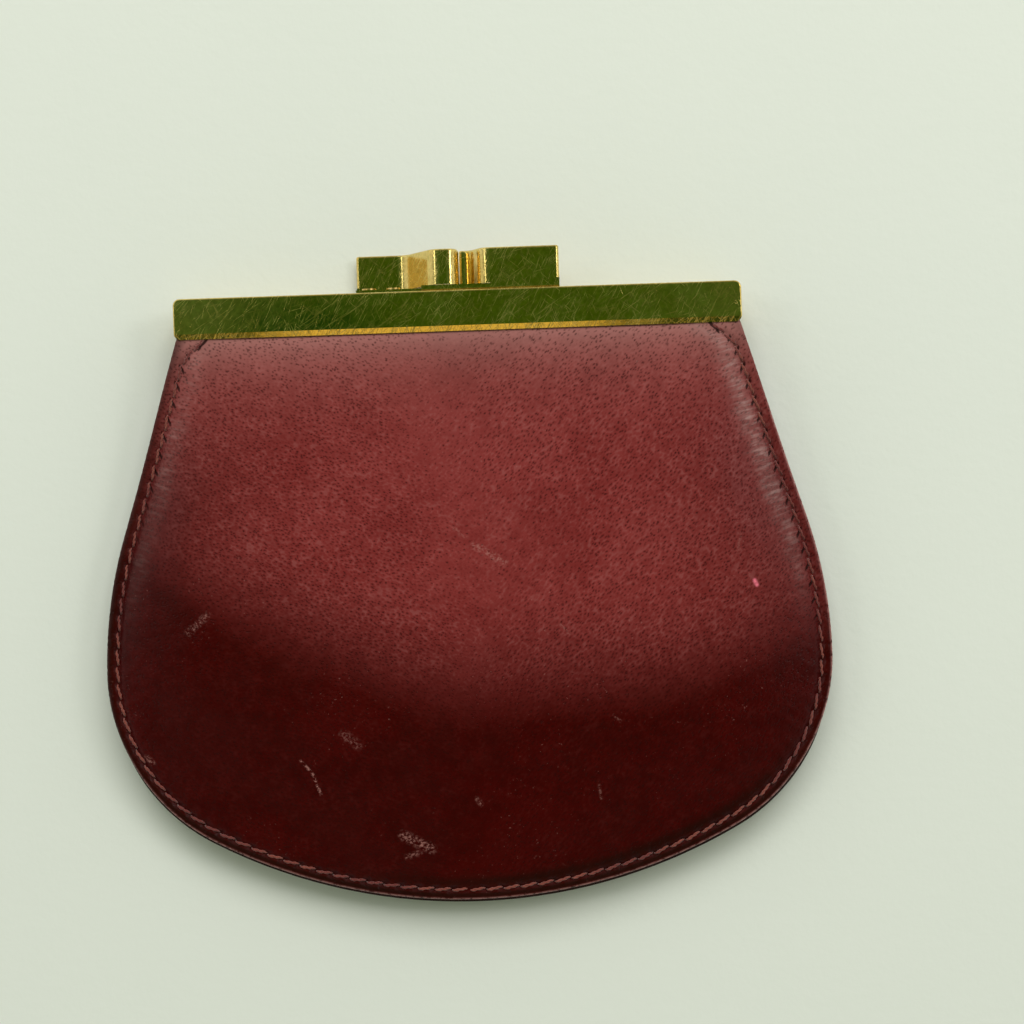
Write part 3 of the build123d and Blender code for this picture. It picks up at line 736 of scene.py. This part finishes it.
def gilt_material():
    """Polished gilt brass, handled and finely scratched in every direction."""
    n = material_nodes("gilt_brass")
    place = n.object_mm()
    lines = None
    for turn, shift, length, low in SCRATCH_WAYS:
        strands = n.noise(n.grid(place, turn, (length, SCRATCH_WIDTH, length), shift), 1.0, 1.0)
        one = n.ramp(strands, low, low + 0.10)
        lines = one if lines is None else n.math("MAXIMUM", lines, one)
    hair = n.noise(n.grid(place, 60, (1.0, 0.10, 1.0)), 1.0, 3.0, 0.7)
    cloud = n.noise(place, 0.2, 5.0, 0.65)
    speckle = n.noise(place, 1.7, 4.0, 0.7)
    haze = n.ramp(cloud, 0.38, 0.70)
    colour = n.mix(n.ramp(cloud, 0.3, 0.75), rgb(0.84, 0.60, 0.19), rgb(0.92, 0.72, 0.29))
    colour = n.mix(n.ramp(speckle, 0.35, 0.65, 0.55, 0.0), colour, rgb(0.52, 0.40, 0.11))
    dings = n.ramp(n.cells(place, 0.16), 0.0, 0.06, 1.0, 0.0)
    rough = n.math("MULTIPLY_ADD", haze, 0.06, 0.05)
    rough = n.math("MULTIPLY_ADD", lines, 0.20, rough)
    rough = n.math("MULTIPLY_ADD", hair, 0.03, rough)
    height = n.math("MULTIPLY_ADD", dings, 1.5, n.math("MULTIPLY_ADD", hair, 0.08, lines))
    height = n.math("MULTIPLY_ADD", speckle, 0.3, height)
    normal = n.relief(n.noise(place, 0.22, 2.0), 0.007, 1.0, n.relief(height, -0.003))
    n.set(Base_Color=colour, Metallic=1.0, Roughness=rough, Normal=normal)
    return n.owner


def rivet_material():
    """Duller brass of the clasp rivets."""
    n = material_nodes("rivet_brass")
    place = n.object_mm()
    tarnish = n.noise(place, 1.6, 4.0, 0.65)
    colour = n.mix(n.ramp(tarnish, 0.35, 0.7), rgb(0.62, 0.40, 0.13), rgb(0.86, 0.64, 0.26))
    rough = n.ramp(tarnish, 0.3, 0.7, 0.42, 0.22)
    n.set(Base_Color=colour, Metallic=1.0, Roughness=rough, Normal=n.relief(tarnish, 0.02))
    return n.owner


def steel_material():
    """Plain drawn steel strip with faint draw lines and a little tarnish."""
    n = material_nodes("frame_steel")
    place = n.object_mm()
    drawn = n.noise(n.grid(place, size=(4.0, 0.15, 0.15)), 1.0, 3.0, 0.6)
    tarnish = n.noise(place, 0.4, 5.0, 0.65)
    colour = n.mix(n.ramp(tarnish, 0.45, 0.75), rgb(0.60, 0.58, 0.54), rgb(0.30, 0.25, 0.20))
    rough = n.ramp(tarnish, 0.3, 0.75, 0.28, 0.5)
    n.set(Base_Color=colour, Metallic=1.0, Roughness=rough, Normal=n.relief(drawn, 0.015))
    return n.owner


def floor_material():
    """Plain pale floor."""
    n = material_nodes("pale_floor")
    place = n.object_mm()
    cloud = n.noise(place, 0.012, 4.0, 0.6)
    colour = n.mix(cloud, rgb(0.74, 0.775, 0.74), rgb(0.78, 0.815, 0.775))
    n.set(Base_Color=colour, Roughness=0.6, Normal=n.relief(n.noise(place, 0.6, 4.0), 0.05))
    return n.owner


# ======== pieces ========
def cross_fold(obj):
    """Bakes a front piece's placing into its mesh; the piece is not bent."""
    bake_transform(obj)


def outer_panel(name, height, side, share, trimmed, materials):
    """Leather panel: a shaped face, its cut edge and its suede back."""
    points, faces = panel_points(height, trimmed)
    panel = new_object(name, points, faces, materials, side)
    thicken(panel, LEATHER, -1.0, rim_slot=1, back_slot=2)
    paint_wear_and_light(panel, share, trimmed)
    keep_rest(panel)
    return panel


def make_front_panel(materials):
    """Front leather in one unbent piece, in place of the CAD's front panel pieces."""
    panel = outer_panel("front_leather", front_height, 1, 0.97, FRONT_TRIM, materials)
    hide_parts("front_panel_upper", "front_panel_fold", "front_panel_lower")
    cross_fold(panel)


def make_rear_panel(materials):
    """Rear leather, which stays with the pouch."""
    panel = outer_panel("rear_leather", rear_height, -1, 0.8, REAR_TRIM, materials)
    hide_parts("rear_panel")
    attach(panel, "pouch")


LINING_TUCK = 0.8
LINING_EDGE_ROWS = (0.75, 1.4, 2.4, 3.4, 4.4, 5.6, 7.0, 9.0)


def lining_height(face_height):
    """Height of a lining's outer face, close under the leather."""

    def height(x, y, d):
        drop = BAR_Y - y
        under = face_height(x, y, d) - edge_detail(x, y, d, drop) - LEATHER - 0.06
        steep = 0.5 * bump(d, 3.2, 1.6) * smooth(drop, 8, 25)
        return np.maximum(under - steep, LINING + 0.03)

    return height


def make_lining(name, face_height, side, material, *nodes):
    """Lining skin of one side."""
    points, faces = panel_points(
        lining_height(face_height), columns=110, edge_rows=LINING_EDGE_ROWS, middle_rows=16, tuck=LINING_TUCK
    )
    lining = new_object(name, points, faces, [material], side)
    thicken(lining, LINING, -1.0)
    keep_rest(lining)
    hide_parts(*nodes)
    return lining


def gusset_profile(drop, side_share):
    """Half of a gusset's folded section at a drop, as (x, h) from its sewn edge to its fold."""
    edge = edge_x(drop) - 0.35
    depth = GUSSET_DEPTH * (1 - drop / (GUSSET_DROP + 1.5)) + 1.2
    wall = max(rim_height(np.array(drop)) - LEATHER - GUSSET_GAP, GUSSET_SHEET)
    flat = 0.5
    fall = min(1.2, depth * 0.3)
    if side_share < 0.3:
        t = side_share / 0.3
        return edge - fall * smooth(t), wall + (flat - wall) * t
    t = (side_share - 0.3) / 0.7
    return edge - fall - (depth - fall) * t, flat * (1 - t) ** 0.7


def make_gusset(name, side_x, material, *nodes):
    """Side gusset: one thin leather, sewn to both panels and folded inwards between the jaws."""
    rows = 26
    half = 18
    shares = np.concatenate((np.linspace(0, 1, half), np.linspace(1, 0, half)[1:]))
    signs = np.concatenate((np.ones(half), -np.ones(half - 1)))
    points = []
    for drop in np.linspace(-0.4, GUSSET_DROP, rows):
        for share, sign in zip(shares, signs):
            x, h = gusset_profile(drop, share)
            points.append((side_x * x, BAR_Y - drop, sign * h))
    faces = grid_faces(rows, len(shares))
    if side_x < 0:
        faces = faces[:, ::-1]
    gusset = new_object(name, np.array(points), faces, [material])
    thicken(gusset, GUSSET_SHEET, 0.0)
    keep_rest(gusset)
    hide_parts(*nodes)
    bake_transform(gusset)
    return gusset


STITCH_SLANT = 0.09
SIDE_STITCH_SINK = 0.06
PLY_TURNS = 1.5
PLY_SEGMENTS = 11
PLY_SIDES = 6


def stitch_strand(start, end, heights, phase):
    """One ply of a stitch: a twisted tube that dives into the needle hole at each end."""
    along = end - start
    across = np.array((-along[1], along[0])) / np.hypot(*along)
    rings = []
    for i in range(PLY_SEGMENTS):
        t = i / (PLY_SEGMENTS - 1)
        twist = phase + 2 * pi * PLY_TURNS * t
        arch = 1 - abs(2 * t - 1) ** 5
        centre = start + along * (0.03 + 0.94 * t) + across * 0.08 * cos(twist)
        h = heights[0] + (heights[1] - heights[0]) * t - 0.42 + 0.37 * arch + 0.07 * sin(twist)
        radius = STITCH_RADIUS * 0.72 * (0.6 + 0.4 * arch)
        unit = along / np.hypot(*along)
        slope = -0.55 * np.sign(2 * t - 1) * abs(2 * t - 1) ** 4
        for j in range(PLY_SIDES):
            a = 2 * pi * j / PLY_SIDES
            out = centre + across * radius * cos(a) - unit * radius * sin(a) * slope
            rings.append((out[0], out[1], h + radius * sin(a)))
    return rings


def strand_faces(first):
    """Faces of one ply whose points start at index first."""
    faces = []
    for i in range(PLY_SEGMENTS - 1):
        for j in range(PLY_SIDES):
            a = first + i * PLY_SIDES + j
            b = first + i * PLY_SIDES + (j + 1) % PLY_SIDES
            faces.append((a, b, b + PLY_SIDES, a + PLY_SIDES))
    faces.append(tuple(first + j for j in reversed(range(PLY_SIDES))))
    last = first + (PLY_SEGMENTS - 1) * PLY_SIDES
    faces.append(tuple(last + j for j in range(PLY_SIDES)))
    return faces


def make_seam_thread(name, face_height, side, material, *nodes):
    """All the stitches of one face, each a two-ply thread between its needle holes."""
    points, faces = [], []
    for holes in (HOLES_RIGHT, (HOLES_RIGHT * (-1, 1))[::-1], HOLES_RIGHT[-1:] * ((1, 1), (-1, 1))):
        d = inset_of(np.column_stack((np.abs(holes[:, 0]), holes[:, 1])))
        drop = BAR_Y - holes[:, 1]
        base = face_height(holes[:, 0], holes[:, 1], d) - edge_detail(holes[:, 0], holes[:, 1], d, drop)
        for i in range(len(holes) - 1):
            slant = np.array((holes[i + 1][1] - holes[i][1], holes[i][0] - holes[i + 1][0])) * STITCH_SLANT
            sunk = base[i : i + 2] - SIDE_STITCH_SINK * (1 - smooth(drop[i], *BOTTOM_DROPS))
            for phase in (0.0, pi):
                first = len(points)
                points += stitch_strand(holes[i] + slant, holes[i + 1] - slant, sunk, phase)
                faces += strand_faces(first)
    thread = new_object(name, np.array(points), faces, [material], side)
    keep_rest(thread)
    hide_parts(*nodes)
    return thread


def finish_metal(gilt, rivet, steel):
    """Puts the metal finishes on the CAD's own frame, clasp, rivets and strips."""
    finishes = {
        gilt: ("front_bar", "rear_bar", "front_clasp_tab", "rear_clasp_tab"),
        rivet: ("front_clasp_rivets", "rear_clasp_rivets"),
        steel: ("front_frame_strip", "rear_frame_strip", "left_hinge_rivet", "right_hinge_rivet"),
    }
    for material, nodes in finishes.items():
        for node in nodes:
            obj = frame["nodes"][node]
            for slot in obj.material_slots:
                slot.material = material


# ======== floor, light and camera ========
CAMERA_HEIGHT = 300.0
CAMERA_TURN = radians(1.95)
VIEW_WIDTH = 134.9
BAR_IN_VIEW = (-7.2, 26.61)
FLOOR_SIZE = 1800.0


def make_camera():
    """Camera straight above, turned a little, with the bar off centre in its view."""
    data = bpy.data.cameras.new("camera")
    camera = bpy.data.objects.new("camera", data)
    bpy.context.scene.collection.objects.link(camera)
    right = Vector((cos(CAMERA_TURN), -sin(CAMERA_TURN), 0))
    up = Vector((sin(CAMERA_TURN), cos(CAMERA_TURN), 0))
    bar = Vector((0, (BAR_Y + BAR_TOP_Y) / 2, 0))
    foot = bar - BAR_IN_VIEW[0] * right - BAR_IN_VIEW[1] * up
    camera.location = (foot.x * MM, foot.y * MM, CAMERA_HEIGHT * MM)
    camera.rotation_euler = (0, 0, -CAMERA_TURN)
    data.sensor_width = 36.0
    data.lens = 36.0 * (CAMERA_HEIGHT - BAR_HIGH[2]) / VIEW_WIDTH
    data.clip_start = 0.01
    bpy.context.scene.camera = camera


def area_light(name, place, size, power, colour, mirrored=True):
    """Soft rectangular light over the purse, placed in millimetres. The brass needn't mirror it."""
    data = bpy.data.lights.new(name, "AREA")
    data.shape = "RECTANGLE"
    data.size, data.size_y = size[0] * MM, size[1] * MM
    data.energy = power
    data.color = colour
    light = bpy.data.objects.new(name, data)
    light.location = Vector(place) * MM
    light.rotation_euler = (-Vector(place)).to_track_quat("-Z", "Y").to_euler()
    light.visible_glossy = mirrored
    bpy.context.scene.collection.objects.link(light)


OVERHEAD = (0.08, 0.15, 0.042)
SKY_AT_CLASP = (
    (0.0, (0.98, 1.0, 0.93)),
    (0.5, (0.80, 0.83, 0.74)),
    (0.8, (0.32, 0.38, 0.24)),
    (0.95, (0.10, 0.17, 0.06)),
    (1.0, OVERHEAD),
)
SKY_AT_BOTTOM = (
    (0.0, (0.74, 0.73, 0.66)),
    (0.38, (0.66, 0.65, 0.56)),
    (0.62, (0.30, 0.31, 0.24)),
    (0.8, (0.06, 0.10, 0.04)),
    (1.0, OVERHEAD),
)
MIRRORED_BY_BAR = (-0.01, 0.095, 0.995)
WORLD_STRENGTH = 0.90


def sky_ramp(tree, height, stops):
    """Colour of the surroundings by height above the horizon."""
    ramp = tree.nodes.new("ShaderNodeValToRGB")
    tree.links.new(height, ramp.inputs[0])
    elements = ramp.color_ramp.elements
    elements.remove(elements[1])
    for position, colour in stops:
        element = elements[0] if position == 0 else elements.new(position)
        element.position = position
        element.color = rgb(*colour)
    return ramp.outputs[0]


def between(n, value, low, high, soft):
    """Mask of a value between two limits, with soft ends."""
    above = n.ramp(value, low - soft, low + soft)
    return n.math("MULTIPLY", above, n.ramp(value, high - soft, high + soft, 1.0, 0.0))


def make_world():
    """Bright round the horizon, more so behind the clasp, and dark green overhead for the brass to mirror.

    The bar's face mirrors a darker patch on its left, and its bevel a dark band with one warm strip.
    """
    world = bpy.data.worlds.new("studio")
    bpy.context.scene.world = world
    n = Nodes(world)
    place = n.add("TexCoord").outputs["Generated"]
    x, y, z = n.add("SeparateXYZ", {0: place}).outputs
    at_bottom = sky_ramp(n.tree, z, SKY_AT_BOTTOM)
    at_clasp = sky_ramp(n.tree, z, SKY_AT_CLASP)
    colour = n.mix(n.ramp(y, -0.35, 0.45), at_bottom, at_clasp)
    wobble = n.math("MULTIPLY_ADD", n.math("SUBTRACT", n.noise(place, 14.0, 3.0), 0.5), 0.04, x)
    curtain = n.math("MULTIPLY", between(n, wobble, -0.13, 0.22, 0.02), between(n, y, 0.2, 2.0, 0.08))
    colour = n.mix(n.math("MULTIPLY", curtain, n.ramp(z, 0.05, 0.3)), colour, rgb(0.22, 0.24, 0.15))
    overhead = n.add("VectorMath", {0: place, 1: MIRRORED_BY_BAR}, operation="DISTANCE").outputs["Value"]
    colour = n.mix(n.ramp(overhead, 0.06, 0.14, 1.0, 0.0), colour, rgb(0.050, 0.110, 0.006))
    gap = n.math("ABSOLUTE", n.math("SUBTRACT", wobble, -0.090))
    patch = n.math("MULTIPLY", n.ramp(gap, 0.012, 0.042, 1.0, 0.0), between(n, y, 0.055, 0.095, 0.006))
    colour = n.mix(n.math("MULTIPLY", patch, n.ramp(z, 0.9, 0.95)), colour, rgb(0.002, 0.040, 0.005))
    bevel_band = n.math("MULTIPLY", between(n, y, -0.84, -0.66, 0.03), n.ramp(z, 0.3, 0.4))
    dim = n.math("MULTIPLY", bevel_band, between(n, x, -0.22, 0.24, 0.03))
    colour = n.mix(dim, colour, rgb(0.035, 0.065, 0.012))
    warm = n.math("MULTIPLY", bevel_band, between(n, wobble, -0.105, 0.045, 0.01))
    colour = n.mix(warm, colour, rgb(0.90, 0.68, 0.22))
    background = world.node_tree.nodes["Background"]
    n.link(background.inputs[0], colour)
    background.inputs[1].default_value = WORLD_STRENGTH


def make_floor(material):
    """Plain floor under the purse."""
    half = FLOOR_SIZE / 2
    corners = [(-half, -half, -MID_Z), (half, -half, -MID_Z), (half, half, -MID_Z), (-half, half, -MID_Z)]
    floor = new_object("floor", np.array(corners), [(0, 1, 2, 3)], [material])


def main():
    """Makes the materials, the pieces and the studio."""
    leather = [leather_material(), cut_edge_material(), flesh_material()]
    lining = lining_material()
    gusset = gusset_material()
    thread = thread_material()
    make_camera()
    make_front_panel(leather)
    make_rear_panel(leather)
    front = ("front_lining_upper", "front_lining_fold", "front_lining_lower")
    cross_fold(make_lining("front_lining", front_height, 1, lining, *front))
    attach(make_lining("rear_lining_skin", rear_height, -1, lining, "rear_lining"), "pouch")
    make_gusset("right_gusset", 1, gusset, "right_gusset_front_leaf", "right_gusset_rear_leaf")
    make_gusset("left_gusset", -1, gusset, "left_gusset_front_leaf", "left_gusset_rear_leaf")
    front = ("front_upper_stitches", "front_fold_stitches", "front_lower_stitches")
    cross_fold(make_seam_thread("front_seam_thread", front_height, 1, thread, *front))
    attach(make_seam_thread("rear_seam_thread", rear_height, -1, thread, "rear_stitches"), "pouch")
    finish_metal(gilt_material(), rivet_material(), steel_material())
    make_floor(floor_material())
    make_world()
    area_light("window", (60, 680, 920), (900, 650), 8.9, (1.0, 0.985, 0.95), mirrored=False)
    area_light("right_lamp", (620, 260, 760), (260, 260), 1.2, (1.0, 0.97, 0.94))
    area_light("left_lamp", (-620, 260, 760), (200, 200), 0.5, (1.0, 0.98, 0.92))
    bpy.context.scene.view_settings.view_transform = "Standard"


main()
